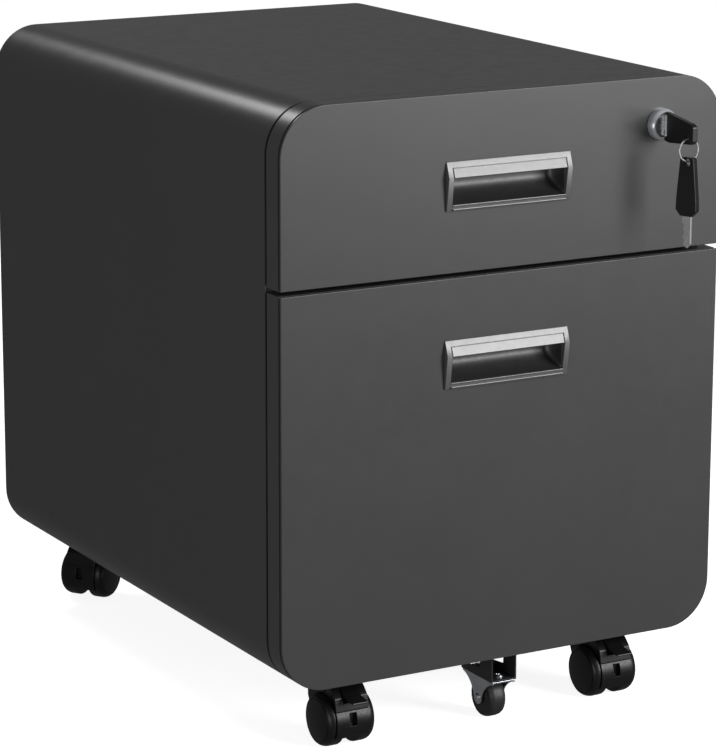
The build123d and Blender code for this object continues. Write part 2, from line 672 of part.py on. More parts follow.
def caster_hood(name, place, braked):
    """Hood over the two wheels with its centre web and neck; braked ones carry pivot ears."""
    plane = caster_plane(place)
    neck_top = BODY_LOW - PLATE_T - 0.5
    with BuildPart() as hood:
        with BuildSketch(plane.offset(-HOOD_HALF)):
            with Locations((-CASTER_TRAIL, WHEEL_R)):
                Circle(HOOD_R)
        extrude(amount=2 * HOOD_HALF)
        with BuildSketch(plane.offset(-HOOD_HALF)):
            with BuildLine():
                Polyline((6, WHEEL_R), (12, 34), (12, 50))
                ThreePointArc((12, 50), (10.4, 53.9), (6.5, HUMP_TOP))
                Line((6.5, HUMP_TOP), (-6, HUMP_TOP))
                ThreePointArc((-6, HUMP_TOP), (-20.5, 51.5), (-32, 41.5))
                Polyline((-32, 41.5), (-34, 32), (6, WHEEL_R))
            make_face()
        extrude(amount=2 * HOOD_HALF)
        with BuildSketch(Plane.XY.offset(HUMP_TOP - 1)):
            with Locations(place[:2]):
                Circle(11)
        extrude(amount=neck_top - HUMP_TOP + 1)
        for start in (-HOOD_HALF - 1, 5):
            with BuildSketch(plane.offset(start)):
                with Locations((-CASTER_TRAIL, WHEEL_R)):
                    Circle(HOOD_R - HOOD_T)
            extrude(amount=HOOD_HALF - 4, mode=Mode.SUBTRACT)
        with BuildSketch(plane.offset(-HOOD_HALF - 1)):
            with Locations((-CASTER_TRAIL, 0)):
                Rectangle(60, 20)
            with Locations((25 - CASTER_TRAIL, 8)):
                Rectangle(30, 36)
        extrude(amount=2 * HOOD_HALF + 2, mode=Mode.SUBTRACT)
        with BuildSketch(plane.offset(-3)):
            with Locations((-CASTER_TRAIL - HOOD_R, 25)):
                Rectangle(9, 10)
        extrude(amount=6, mode=Mode.SUBTRACT)
        if braked:
            with BuildSketch(plane.offset(-BRAKE_HALF - 0.4)):
                with BuildLine():
                    Polyline(
                        (-40, 60), (-9.8, 60), (-9.8, 43), (-22, 42), (-28, 39.4), (-40, 36), close=True
                    )
                make_face()
            extrude(amount=2 * BRAKE_HALF + 0.8, mode=Mode.SUBTRACT)
            with BuildSketch(plane.offset(-HOOD_HALF)):
                with Locations(BRAKE_PIVOT):
                    Circle(BRAKE_PIN_R + FIT)
            extrude(amount=2 * HOOD_HALF, mode=Mode.SUBTRACT)
        with BuildSketch(Plane.XY.offset(40.5)):
            with Locations(place[:2]):
                Circle(KINGPIN_R + FIT)
        extrude(amount=20, mode=Mode.SUBTRACT)
        axle_round(plane, AXLE_R, -6, 6, mode=Mode.SUBTRACT)
    save(hood, f"{name}_caster_hood")


def caster_axle(name, place):
    """Steel pin pressed through the hood's web."""
    with BuildPart() as axle:
        axle_round(caster_plane(place), AXLE_R, -17.4, 17.4)
    save(axle, f"{name}_caster_axle")


def caster_wheel(name, place, side, side_name):
    """One wheel: flat tread, rounded outer edge and a slightly domed disc over a blind bore."""
    plane = caster_plane(place)
    centre = plane.from_local_coords((-CASTER_TRAIL, WHEEL_R, 0))
    across = Plane(origin=centre, x_dir=plane.z_dir * side, z_dir=plane.x_dir)
    bore = AXLE_R + FIT
    with BuildPart() as wheel:
        with BuildSketch(across):
            with BuildLine():
                Polyline(
                    (17.8, bore), (WHEEL_INNER_X, bore), (WHEEL_INNER_X, WHEEL_R - 0.8),
                    (WHEEL_INNER_X + 0.8, WHEEL_R), (13, WHEEL_R),
                )
                ThreePointArc((13, WHEEL_R), (17.6, WHEEL_R - 2.1), (19.1, WHEEL_R - 6.5))
                Polyline((19.1, WHEEL_R - 6.5), (WHEEL_OUTER_X - 0.3, 6), (WHEEL_OUTER_X, 0))
                Polyline((WHEEL_OUTER_X, 0), (17.8, 0), (17.8, bore))
            make_face()
        revolve(axis=Axis(centre, across.x_dir))
    save(wheel, f"{name}_caster_wheel_{side_name}")


def caster_brake(name, place):
    """Foot lever with its two trunnions, reaching forward over the hood."""
    plane = caster_plane(place)
    pivot_x, pivot_z = BRAKE_PIVOT
    with BuildPart() as lever:
        with BuildSketch(plane.offset(-BRAKE_HALF)):
            with BuildLine():
                Polyline((-47, 40.6), (-46.7, 42), (-35, 43.6))
                ThreePointArc((-35, 43.6), (-25.5, 49.2), (pivot_x, pivot_z + 8.7))
                Polyline(
                    (pivot_x, pivot_z + 8.7), (-11, pivot_z + 9), (-11, pivot_z - 1), (-24, 44.4),
                    (-30, 42), (-47, 40.6),
                )
            make_face()
        extrude(amount=2 * BRAKE_HALF)
        with BuildSketch(plane.offset(-BRAKE_HALF - 2.4)):
            with Locations(BRAKE_PIVOT):
                Circle(BRAKE_PIN_R)
        extrude(amount=2 * BRAKE_HALF + 4.8)
    save(lever, f"{name}_caster_brake")


def casters():
    """Four twin-wheel casters; the front two have a brake lever."""
    for name, place in caster_places().items():
        braked = name.startswith("front")
        caster_hood(name, place, braked)
        caster_axle(name, place)
        caster_wheel(name, place, -1, "a")
        caster_wheel(name, place, 1, "b")
        if braked:
            caster_brake(name, place)


# ---- anti-tip wheel -----------------------------------------------------------------------
def tip_place(side_offset):
    """YZ plane at a distance from the anti-tip wheel's middle plane."""
    return Plane.YZ.offset(TIP_X + side_offset)


def anti_tip_bracket():
    """Folded bracket from the lower drawer's floor down through the body's notch."""
    front = TIP_Y - FORK_HALF_LENGTH
    rear = TIP_Y + FORK_HALF_LENGTH
    base = FORK_TOP
    top = LOWER_BOX[0]
    with BuildPart() as bracket:
        with BuildSketch(tip_place(-BRACKET_HALF)):
            with BuildLine():
                Polyline(
                    (front, base), (rear, base), (rear, top), (rear - 7, top), (rear - 8, base + 6),
                    (front + 18, base + 8), (front + 16, top), (PAN_BACK_Y + 1, top),
                    (PAN_BACK_Y + 1, BODY_LOW - 2), (front, BODY_LOW - 6), close=True,
                )
            make_face()
        extrude(amount=2 * BRACKET_HALF)
        hollow = (TIP_X - BRACKET_HALF + BRACKET_T, TIP_X + BRACKET_HALF - BRACKET_T)
        block(hollow, (front - 1, rear + 1), (base + BRACKET_T, top - BRACKET_T), mode=Mode.SUBTRACT)
        screw_places = [(TIP_X, y, base + 1) for y in (TIP_Y - 15, TIP_Y + 16)]
        with Locations(*screw_places):
            Cylinder(2.0, 6, mode=Mode.SUBTRACT)
    save(bracket, "anti_tip_bracket")


def anti_tip_fork():
    """Zinc fork whose cheeks narrow to a rounded end round the axle."""
    front = TIP_Y - FORK_HALF_LENGTH
    rear = TIP_Y + FORK_HALF_LENGTH
    with BuildPart() as fork:
        with BuildSketch(tip_place(-FORK_HALF)):
            with BuildLine():
                Line((front, FORK_TOP), (rear, FORK_TOP))
                Line((rear, FORK_TOP), (rear, FORK_TOP - 2))
                ThreePointArc((rear, FORK_TOP - 2), (TIP_Y + 9.5, 24.5), (TIP_Y + 5.5, TIP_WHEEL_R))
                RadiusArc((TIP_Y + 5.5, TIP_WHEEL_R), (TIP_Y - 5.5, TIP_WHEEL_R), 5.5)
                ThreePointArc((TIP_Y - 5.5, TIP_WHEEL_R), (TIP_Y - 9.5, 24.5), (front, FORK_TOP - 2))
                Line((front, FORK_TOP - 2), (front, FORK_TOP))
            make_face()
        extrude(amount=2 * FORK_HALF)
        hollow = (TIP_X - FORK_HALF + FORK_T, TIP_X + FORK_HALF - FORK_T)
        block(hollow, (front - 1, rear + 1), (0, FORK_TOP - FORK_T), mode=Mode.SUBTRACT)
        with BuildSketch(tip_place(-FORK_HALF - 1)):
            with Locations((TIP_Y, TIP_WHEEL_R)):
                Circle(TIP_AXLE_R)
        extrude(amount=2 * FORK_HALF + 2, mode=Mode.SUBTRACT)
        with Locations(*[(TIP_X, y, FORK_TOP) for y in (TIP_Y - 15, TIP_Y + 16)]):
            Cylinder(2.0, 6, mode=Mode.SUBTRACT)
    save(fork, "anti_tip_fork")


def anti_tip_axle_and_screws():
    """Riveted axle with both heads, and the two screws that hold the fork to the bracket."""
    with BuildPart() as axle:
        with BuildSketch(tip_place(-FORK_HALF - 1.2)):
            with Locations((TIP_Y, TIP_WHEEL_R)):
                Circle(3.4)
        extrude(amount=1.2)
        with BuildSketch(tip_place(-FORK_HALF)):
            with Locations((TIP_Y, TIP_WHEEL_R)):
                Circle(TIP_AXLE_R)
        extrude(amount=2 * FORK_HALF)
        with BuildSketch(tip_place(FORK_HALF)):
            with Locations((TIP_Y, TIP_WHEEL_R)):
                Circle(3.4)
        extrude(amount=1.2)
    save(axle, "anti_tip_axle")

    head_low = FORK_TOP + BRACKET_T
    with BuildPart() as screws:
        for y in (TIP_Y - 15, TIP_Y + 16):
            with BuildSketch(Plane.XY.offset(head_low)):
                with Locations((TIP_X, y)):
                    Circle(3.6)
            extrude(amount=2)
            with BuildSketch(Plane.XY.offset(head_low - 3.6)):
                with Locations((TIP_X, y)):
                    Circle(1.9)
            extrude(amount=3.6)
    save(screws, "anti_tip_screws")


def anti_tip_wheel():
    """Narrow wheel with a rounded tread."""
    bore = TIP_AXLE_R + FIT
    with BuildPart() as wheel:
        with BuildSketch(Plane.XZ.offset(-TIP_Y)):
            with BuildLine():
                low = TIP_WHEEL_R + bore
                high = 2 * TIP_WHEEL_R
                Line((TIP_X - TIP_WHEEL_HALF, low), (TIP_X - TIP_WHEEL_HALF, high - 3.5))
                ThreePointArc(
                    (TIP_X - TIP_WHEEL_HALF, high - 3.5), (TIP_X - 5.3, high - 0.9), (TIP_X - 2.6, high)
                )
                Line((TIP_X - 2.6, high), (TIP_X + 2.6, high))
                ThreePointArc(
                    (TIP_X + 2.6, high), (TIP_X + 5.3, high - 0.9), (TIP_X + TIP_WHEEL_HALF, high - 3.5)
                )
                Line((TIP_X + TIP_WHEEL_HALF, high - 3.5), (TIP_X + TIP_WHEEL_HALF, low))
                Line((TIP_X + TIP_WHEEL_HALF, low), (TIP_X - TIP_WHEEL_HALF, low))
            make_face()
        revolve(axis=Axis((0, TIP_Y, TIP_WHEEL_R), (1, 0, 0)))
    save(wheel, "anti_tip_wheel")


# ---- the whole cabinet --------------------------------------------------------------------
carcass_shell()
back_panel()
back_panel_screws()
uprights(-1, "uprights_left")
uprights(1, "uprights_right")
base_rails()
caster_plates()
caster_plate_screws()
drawer_slides("upper", UPPER_SLIDE_Z)
drawer_slides("lower", LOWER_SLIDE_Z)
front_skin(UPPER_LOW, HEIGHT, UPPER_HANDLE_Z, "upper_front_skin", with_lock=True)
front_skin(BODY_LOW, LOWER_HIGH, LOWER_HANDLE_Z, "lower_front_skin")
inner_pan(UPPER_LOW, HEIGHT, "upper_inner_pan", with_lock=True)
inner_pan(BODY_LOW, LOWER_HIGH, "lower_inner_pan", with_latch=True)
drawer_box(UPPER_BOX, "upper_drawer_box")
drawer_box(LOWER_BOX, "lower_drawer_box")
file_rails()
handle(UPPER_HANDLE_Z, "upper")
handle(LOWER_HANDLE_Z, "lower")
lock_housing()
lock_nut()
lock_plug()
lock_cam()
lock_keeper()
lock_bar()
key_in_lock()
key_ring()
spare_key()
casters()
anti_tip_bracket()
anti_tip_fork()
anti_tip_axle_and_screws()
anti_tip_wheel()
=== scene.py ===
"""Looks of the rolling pedestal cabinet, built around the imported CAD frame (metres, +Z up)."""
import json
import math

import bmesh
import bpy
from mathutils import Matrix, Vector


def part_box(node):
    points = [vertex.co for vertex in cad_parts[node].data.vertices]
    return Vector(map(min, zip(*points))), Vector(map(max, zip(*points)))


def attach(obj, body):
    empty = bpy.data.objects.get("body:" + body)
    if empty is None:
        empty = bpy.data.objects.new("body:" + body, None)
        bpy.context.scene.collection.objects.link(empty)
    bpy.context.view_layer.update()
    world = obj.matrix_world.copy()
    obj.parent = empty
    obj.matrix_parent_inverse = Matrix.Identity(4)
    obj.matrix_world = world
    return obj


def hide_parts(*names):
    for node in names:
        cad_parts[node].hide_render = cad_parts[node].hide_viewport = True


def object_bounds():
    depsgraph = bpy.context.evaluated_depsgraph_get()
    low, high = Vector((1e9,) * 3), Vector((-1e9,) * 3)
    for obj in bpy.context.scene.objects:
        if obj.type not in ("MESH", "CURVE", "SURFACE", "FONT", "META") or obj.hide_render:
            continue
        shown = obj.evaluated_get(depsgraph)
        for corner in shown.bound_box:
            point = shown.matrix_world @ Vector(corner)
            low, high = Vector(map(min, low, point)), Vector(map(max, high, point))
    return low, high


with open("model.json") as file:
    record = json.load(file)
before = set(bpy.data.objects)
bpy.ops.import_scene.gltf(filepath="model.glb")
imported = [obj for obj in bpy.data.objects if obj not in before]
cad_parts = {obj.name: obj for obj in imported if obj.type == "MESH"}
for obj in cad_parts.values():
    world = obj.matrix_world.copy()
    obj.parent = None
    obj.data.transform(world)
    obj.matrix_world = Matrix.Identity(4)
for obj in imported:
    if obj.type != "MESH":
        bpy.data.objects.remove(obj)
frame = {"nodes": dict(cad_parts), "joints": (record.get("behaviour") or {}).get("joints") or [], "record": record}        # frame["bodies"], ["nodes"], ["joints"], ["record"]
CAD_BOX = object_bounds()
NODES = frame["nodes"]
MM = 0.001
FRONT_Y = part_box("upper_front_skin")[0].y  # plane of the drawer fronts
SLOT_OF = {part["node"]: part["material_slot"] for part in frame["record"]["subparts"]}
BODY_OF = {
    node: body
    for body, members in frame["record"]["behaviour"]["bodies"].items()
    for node in members
}


# ---- material nodes -----------------------------------------------------------------------
def new_material(name, metallic, specular, coat=0.0):
    """A material with its shader; what is the same all over is set on the shader itself."""
    material = bpy.data.materials.new(name)
    material.use_nodes = True
    tree = material.node_tree
    shader = tree.nodes["Principled BSDF"]
    shader.inputs["Metallic"].default_value = metallic
    shader.inputs["Specular IOR Level"].default_value = specular
    shader.inputs["Coat Weight"].default_value = coat
    shader.inputs["Coat Roughness"].default_value = 0.12
    return material, tree, shader


def noise(tree, scale, detail=3.0, stretch=(1.0, 1.0, 1.0)):
    """Noise in the object's own frame; scale is features per metre."""
    place = tree.nodes.new("ShaderNodeTexCoord")
    mapping = tree.nodes.new("ShaderNodeMapping")
    mapping.inputs["Scale"].default_value = stretch
    texture = tree.nodes.new("ShaderNodeTexNoise")
    texture.inputs["Scale"].default_value = scale
    texture.inputs["Detail"].default_value = detail
    tree.links.new(place.outputs["Object"], mapping.inputs["Vector"])
    tree.links.new(mapping.outputs["Vector"], texture.inputs["Vector"])
    return texture.outputs["Fac"]


def span(tree, source, low, high):
    """Map the middle of a noise onto low to high."""
    node = tree.nodes.new("ShaderNodeMapRange")
    node.inputs["From Min"].default_value = 0.3
    node.inputs["From Max"].default_value = 0.7
    node.inputs["To Min"].default_value = low
    node.inputs["To Max"].default_value = high
    tree.links.new(source, node.inputs["Value"])
    return node.outputs["Result"]


def two_colours(tree, source, first, second):
    """Blend two colours over the middle of a noise."""
    node = tree.nodes.new("ShaderNodeValToRGB")
    node.color_ramp.elements[0].position = 0.3
    node.color_ramp.elements[1].position = 0.7
    node.color_ramp.elements[0].color = (*first, 1.0)
    node.color_ramp.elements[1].color = (*second, 1.0)
    tree.links.new(source, node.inputs["Fac"])
    return node.outputs["Color"]


def bump(tree, height, depth, normal=None):
    """Relief of a given depth in metres, laid over another one when given."""
    node = tree.nodes.new("ShaderNodeBump")
    node.inputs["Strength"].default_value = 1.0
    node.inputs["Distance"].default_value = depth
    tree.links.new(height, node.inputs["Height"])
    if normal is not None:
        tree.links.new(normal, node.inputs["Normal"])
    return node.outputs["Normal"]


def surface(name, colour, vary, rough, grain, depth, metallic=0.0, specular=0.5, coat=0.0,
            cloud=14.0, stretch=(1.0, 1.0, 1.0)):
    """A finish: two close tones, a range of roughness, a fine grain and a slow waviness."""
    material, tree, shader = new_material(name, metallic, specular, coat)
    tones = [tuple(c * (1 - vary) for c in colour), tuple(c * (1 + vary) for c in colour)]
    slow = noise(tree, cloud)
    fine = noise(tree, grain, 2.0, stretch)
    tree.links.new(two_colours(tree, slow, *tones), shader.inputs["Base Color"])
    patches = noise(tree, cloud * 6, 4.0, stretch)
    tree.links.new(span(tree, patches, *rough), shader.inputs["Roughness"])
    waves = bump(tree, slow, depth)
    tree.links.new(bump(tree, fine, depth, waves), shader.inputs["Normal"])
    return material


MATERIALS = {
    "body_paint": surface("charcoal_powder_coat", (0.060, 0.060, 0.061), 0.03, (0.28, 0.32),
                          1400, 0.000003, specular=0.5),
    "box_paint": surface("black_powder_coat", (0.022, 0.022, 0.023), 0.08, (0.38, 0.46),
                         1400, 0.00002, specular=0.4),
    "zinc": surface("zinc_plate", (0.70, 0.72, 0.76), 0.08, (0.24, 0.36), 700, 0.00001,
                    metallic=1.0, cloud=90),
    "chrome": surface("chrome_plate", (0.74, 0.76, 0.79), 0.02, (0.20, 0.26), 500, 0.000002,
                      metallic=0.5, cloud=60),
    "key_steel": surface("nickel_steel", (0.66, 0.66, 0.64), 0.05, (0.24, 0.32), 900, 0.000006,
                         metallic=0.6, cloud=80, stretch=(1.0, 1.0, 0.2)),
    "handle_grey": surface("silver_grey_paint", (0.095, 0.095, 0.096), 0.03, (0.30, 0.34), 1800,
                           0.000003, specular=0.8, cloud=40),
    # recess lining: a darker copy of the handle grey; its dark tone is painted shade in the recess
    "recess_painted_shade_grey": surface("recess_painted_shade", (0.018, 0.018, 0.019), 0.05, (0.42, 0.48), 1800,
                           0.000002, specular=1.0, cloud=40),
    # lip plate: a lighter copy of the handle grey; the extra lightness is painted light on the lip that
    # faces the lamps
    "plate_painted_light_grey": surface("lip_plate_painted_light", (0.140, 0.140, 0.142), 0.03, (0.30, 0.34), 1800,
                          0.000003, specular=0.8, cloud=40),
    "black_plastic": surface("black_key_plastic", (0.012, 0.012, 0.0125), 0.10, (0.30, 0.40),
                             1600, 0.00001, specular=0.4, cloud=60),
    "caster_plastic": surface("caster_nylon", (0.008, 0.008, 0.0085), 0.12, (0.30, 0.40), 1200,
                              0.000012, specular=0.35, cloud=70),
    "wheel_tyre": surface("wheel_nylon", (0.024, 0.024, 0.025), 0.12, (0.42, 0.52), 900,
                          0.00002, specular=0.45, cloud=70),
}


# ---- mesh helpers -------------------------------------------------------------------------
def finish_mesh(mesh, sharp_angle=32.0):
    """Smooth shading that breaks at real corners."""
    mesh.shade_smooth()
    mesh.set_sharp_from_angle(angle=math.radians(sharp_angle))


def as_piece(bm, name, nodes, body=None, slot=None):
    """Turn a bmesh into a finished piece that stands for CAD nodes and rides on their body."""
    slot = slot or SLOT_OF[nodes[0]]
    body = body or BODY_OF[nodes[0]]
    bmesh.ops.recalc_face_normals(bm, faces=bm.faces)
    mesh = bpy.data.meshes.new(name)
    bm.to_mesh(mesh)
    bm.free()
    finish_mesh(mesh)
    piece = bpy.data.objects.new(name, mesh)
    bpy.context.scene.collection.objects.link(piece)
    mesh.materials.append(MATERIALS[slot])
    piece.modifiers.new("weighted_normals", "WEIGHTED_NORMAL").keep_sharp = True
    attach(piece, body)
    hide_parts(*nodes)
    return piece


def from_node(node):
    """The CAD node's surface as a bmesh with joined corners and whole flat faces."""
    source = NODES[node].data
    mesh = bpy.data.meshes.new("scratch")
    mesh.from_pydata([v.co for v in source.vertices], [], [p.vertices[:] for p in source.polygons])
    bm = bmesh.new()
    bm.from_mesh(mesh)
    bpy.data.meshes.remove(mesh)
    bmesh.ops.remove_doubles(bm, verts=bm.verts, dist=0.002 * MM)
    bmesh.ops.dissolve_limit(
        bm, angle_limit=math.radians(0.6), verts=bm.verts, edges=bm.edges, use_dissolve_boundaries=False
    )
    return bm


def round_edges(bm, width, segments=2, angle=35.0):
    """Round every edge sharper than an angle."""
    limit = math.radians(angle)
    edges = [e for e in bm.edges if len(e.link_faces) == 2 and e.calc_face_angle(0.0) > limit]
    bmesh.ops.bevel(
        bm, geom=edges, offset=width, segments=segments, profile=0.5, affect="EDGES", clamp_overlap=False
    )


def softened(node, width_mm, segments=2):
    """The CAD piece with its sharp edges rounded, under its own name."""
    bm = from_node(node)
    round_edges(bm, width_mm * MM, segments)
    return as_piece(bm, node + "_finished", [node])


def lathe(bm, centre, axis, profile, steps=72, closed=False):
    """Turn a profile of (radius, along) pairs round an axis; a radius of 0 closes that end."""
    axis = Vector(axis).normalized()
    side = axis.orthogonal().normalized()
    across = axis.cross(side)
    rings = []
    for radius, along in profile:
        middle = Vector(centre) + axis * along
        turns = [math.tau * k / steps for k in range(steps if radius > 0 else 1)]
        rings.append([
            bm.verts.new(middle + (side * math.cos(a) + across * math.sin(a)) * radius) for a in turns
        ])
    pairs = list(zip(rings, rings[1:] + rings[:1])) if closed else list(zip(rings, rings[1:]))
    for first, second in pairs:
        for k in range(steps):
            corners = [first[k % len(first)], first[(k + 1) % len(first)],
                       second[(k + 1) % len(second)], second[k % len(second)]]
            bm.faces.new(list(dict.fromkeys(corners)))
    return rings


def in_mm(pairs):
    """Profile points given in millimetres, in metres."""
    return [(radius * MM, along * MM) for radius, along in pairs]


def middle_of(node):
    """Centre of a CAD node's box."""
    low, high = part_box(node)
    return (low + high) / 2


def joint_of(body):
    """The joint that carries a body."""
    return next(j for j in frame["joints"] if j["child"] == body)


# ---- handles ------------------------------------------------------------------------------
HANDLE_BORDER = 4.7 * MM
RECESS_DEPTH = 15.5 * MM
RECESS_WALL = 0.5 * MM
RECESS_GRID = (48, 26)  # columns and rows of the lining
RECESS_TOP_POWER, RECESS_BOTTOM_POWER, RECESS_END_POWER = 3.4, 2.2, 26
FRAME_EDGE = 0.35 * MM
PLATE_EDGE = 0.2 * MM
PLATE_GAP = 0.35 * MM
# two steps of the ledge under the opening: front, back, bottom, top and edge radius
LEDGE_STEPS = [(3.6, 1.2, 0.7, 2.0, 0.45), (3.0, 1.0, 3.9, 4.9, 0.35)]


def recess_liner(bm, low, high):
    """Dished lining of the recess: steep at its top and ends, easing out at its bottom."""
    columns, rows = RECESS_GRID
    sheets = []
    for shift in (0.0, RECESS_WALL):
        sheet = []
        for j in range(rows + 1):
            v = -1 + 2 * j / rows
            fall = 1 - abs(v) ** (RECESS_TOP_POWER if v > 0 else RECESS_BOTTOM_POWER)
            line = []
            for i in range(columns + 1):
                u = -math.cos(math.pi * i / columns)
                depth = RECESS_DEPTH * (1 - abs(u) ** RECESS_END_POWER) * fall
                x = (low.x + high.x) / 2 + u * (high.x - low.x) / 2
                z = (low.z + high.z) / 2 + v * (high.z - low.z) / 2
                line.append(bm.verts.new((x, low.y + depth + shift, z)))
            sheet.append(line)
        sheets.append(sheet)
    front, back = sheets
    faces = []
    for sheet in sheets:
        for j in range(rows):
            for i in range(columns):
                quad = (sheet[j][i], sheet[j][i + 1], sheet[j + 1][i + 1], sheet[j + 1][i])
                faces.append(bm.faces.new(quad))
    for j in range(rows):
        for i in (0, columns):
            faces.append(bm.faces.new((front[j][i], front[j + 1][i], back[j + 1][i], back[j][i])))
    for i in range(columns):
        for j in (0, rows):
            faces.append(bm.faces.new((front[j][i], front[j][i + 1], back[j][i + 1], back[j][i])))
    for face in faces:
        face.material_index = 1


def slab(bm, low, high, width):
    """Block with rounded edges between two corners, added to the mesh."""
    made = bmesh.ops.create_cube(bm, size=1.0)["verts"]
    for vert in made:
        for k in range(3):
            vert.co[k] = low[k] if vert.co[k] < 0 else high[k]
    edges = list({edge for vert in made for edge in vert.link_edges})
    bmesh.ops.bevel(
        bm, geom=edges, offset=width, segments=2, profile=0.5, affect="EDGES", clamp_overlap=True
    )


def handle(drawer):
    """Frame with soft edges, a stepped ledge under the opening, a dished recess and the lip plate."""
    frame_node, lip_node = f"{drawer}_handle_frame", f"{drawer}_handle_lip"
    low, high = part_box(frame_node)
    bm = from_node(frame_node)
    round_edges(bm, FRAME_EDGE)
    opening_low = Vector((low.x + HANDLE_BORDER, FRONT_Y + 0.4 * MM, low.z + HANDLE_BORDER + 0.1 * MM))
    opening_high = Vector((high.x - HANDLE_BORDER, 0.0, high.z - 4.3 * MM))
    recess_liner(bm, opening_low, opening_high)
    inner_left, inner_right = low.x + HANDLE_BORDER, high.x - HANDLE_BORDER
    for front, back, bottom, top, radius in LEDGE_STEPS:
        slab(bm, (inner_left, FRONT_Y - front * MM, low.z + bottom * MM),
             (inner_right, FRONT_Y - back * MM, low.z + top * MM), radius * MM)
    piece = as_piece(bm, f"{drawer}_handle_moulding", [frame_node])
    # the recess lining takes the darker grey: painted shade inside the recess
    piece.data.materials.append(MATERIALS["recess_painted_shade_grey"])
    plate = from_node(lip_node)
    lip_low, lip_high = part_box(lip_node)
    centre = (lip_low + lip_high) / 2
    shrink = [1 - PLATE_GAP / (lip_high.x - centre.x), 1.0, 1 - PLATE_GAP / (lip_high.z - centre.z)]
    for vert in plate.verts:
        for k in (0, 2):
            vert.co[k] = centre[k] + (vert.co[k] - centre[k]) * shrink[k]
    round_edges(plate, PLATE_EDGE)
    plate_piece = as_piece(plate, f"{drawer}_handle_plate", [lip_node])
    # the lip plate takes the lighter grey: painted light on the lip, which faces the lamps
    plate_piece.data.materials.clear()
    plate_piece.data.materials.append(MATERIALS["plate_painted_light_grey"])


# ---- lock ---------------------------------------------------------------------------------
BEZEL_FACE = [(12.5, 0.0), (12.5, -3.4), (12.3, -4.6), (11.8, -5.6), (11.1, -6.4), (10.3, -6.9),
              (9.8, -6.9), (9.5, -6.6), (9.3, -6.0), (9.3, -1.9)]
BARREL_R, PLUG_BORE_R = 9.4, 6.05


def lock_bezel():
    """Chromed ring with a rolled outer edge and a small step down to the plug."""
    centre = middle_of("lock_plug")
    centre.y = FRONT_Y
    _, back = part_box("lock_housing")
    depth = (back.y - FRONT_Y) / MM
    profile = [(BARREL_R, depth), (BARREL_R, 0.0), *BEZEL_FACE, (PLUG_BORE_R, BEZEL_FACE[-1][1]),
               (PLUG_BORE_R, depth)]
    bm = bmesh.new()
    lathe(bm, centre, (0, 1, 0), in_mm(profile), steps=96, closed=True)
    as_piece(bm, "lock_bezel", ["lock_housing"])


# ---- screws and rivets --------------------------------------------------------------------
def pan_head(bm, seat, outward, radius, height):
    """Domed head with a cross recess; the arms are the sunk sectors of the inner rings."""
    steps, sunk = 32, 0.55 * height
    profile = [(radius, 0.0), (radius, height * 0.45), (radius * 0.86, height * 0.82),
               (radius * 0.6, height), (radius * 0.52, height), (radius * 0.2, height), (0, height)]
    rings = lathe(bm, seat, outward, profile, steps)
    down = -Vector(outward).normalized() * sunk
    for ring in rings[4:]:
        for k, vert in enumerate(ring):
            if len(ring) == 1 or min(k % 8, 8 - k % 8) <= 1:
                vert.co += down
    base = bm.verts.new(Vector(seat))
    for k in range(steps):
        bm.faces.new((base, rings[0][(k + 1) % steps], rings[0][k]))


def islands(node):
    """Boxes of a CAD node's separate solids."""
    bm = from_node(node)
    left, boxes = set(bm.verts), []
    while left:
        stack, group = [min(left, key=lambda v: v.index)], []
        left.discard(stack[0])
        while stack:
            vert = stack.pop()
            group.append(vert.co.copy())
            for edge in vert.link_edges:
                other = edge.other_vert(vert)
                if other in left:
                    left.discard(other)
                    stack.append(other)
        boxes.append((Vector([min(c[k] for c in group) for k in range(3)]),
                      Vector([max(c[k] for c in group) for k in range(3)])))
    bm.free()
    return boxes


def screws(node, outward, height_mm):
    """A group of pan-head screws: heads with a cross recess on plain shanks."""
    outward = Vector(outward)
    along = max(range(3), key=lambda k: abs(outward[k]))
    height = height_mm * MM
    bm = bmesh.new()
    for low, high in islands(node):
        centre = (low + high) / 2
        radius = (high - low)[(along + 1) % 3] / 2
        length = (high - low)[along] - height
        top = high[along] if outward[along] > 0 else low[along]
        seat = centre.copy()
        seat[along] = top - outward[along] * height
        pan_head(bm, seat, outward, radius, height)
        shank = radius * 0.52
        lathe(bm, seat, -outward, [(0, 0), (shank, 0), (shank, length - shank), (0, length)], 24)
    as_piece(bm, node + "_finished", [node])


# ---- wheels -------------------------------------------------------------------------------
CASTER_WHEEL = [
    (2.55, 7.0), (20.2, 7.0), (20.8, 7.3), (21.0, 7.9), (21.0, 15.2), (20.7, 16.9), (20.0, 18.6),
    (19.0, 19.9), (18.3, 20.4), (17.9, 20.5), (17.6, 20.0), (17.0, 20.0), (16.7, 20.6), (14.0, 21.2),
    (9.0, 21.7), (4.0, 21.9), (0, 22.0),
]
TIP_WHEEL = [
    (2.05, -7.5), (8.5, -7.5), (9.0, -7.1), (12.6, -7.1), (13.1, -7.5), (14.0, -7.3), (15.2, -6.5),
    (16.1, -5.0), (16.5, -2.8), (16.5, 2.8), (16.1, 5.0), (15.2, 6.5), (14.0, 7.3), (13.1, 7.5),
    (12.6, 7.1), (9.0, 7.1), (8.5, 7.5), (2.05, 7.5),
]


def caster_wheel(caster, letter):
    """Wheel with a rolled tread edge, a groove round its disc and a blind bore."""
    body = f"{caster}_caster_wheel_{letter}"
    joint = joint_of(body)
    axis = Vector(joint["axis"]) * (-1 if letter == "a" else 1)
    bm = bmesh.new()
    lathe(bm, joint["pos_m"], axis, in_mm([(0, 18.5), (2.55, 18.5)] + CASTER_WHEEL), steps=96)
    round_edges(bm, 0.15 * MM, 1, 40.0)
    as_piece(bm, body + "_finished", [body])


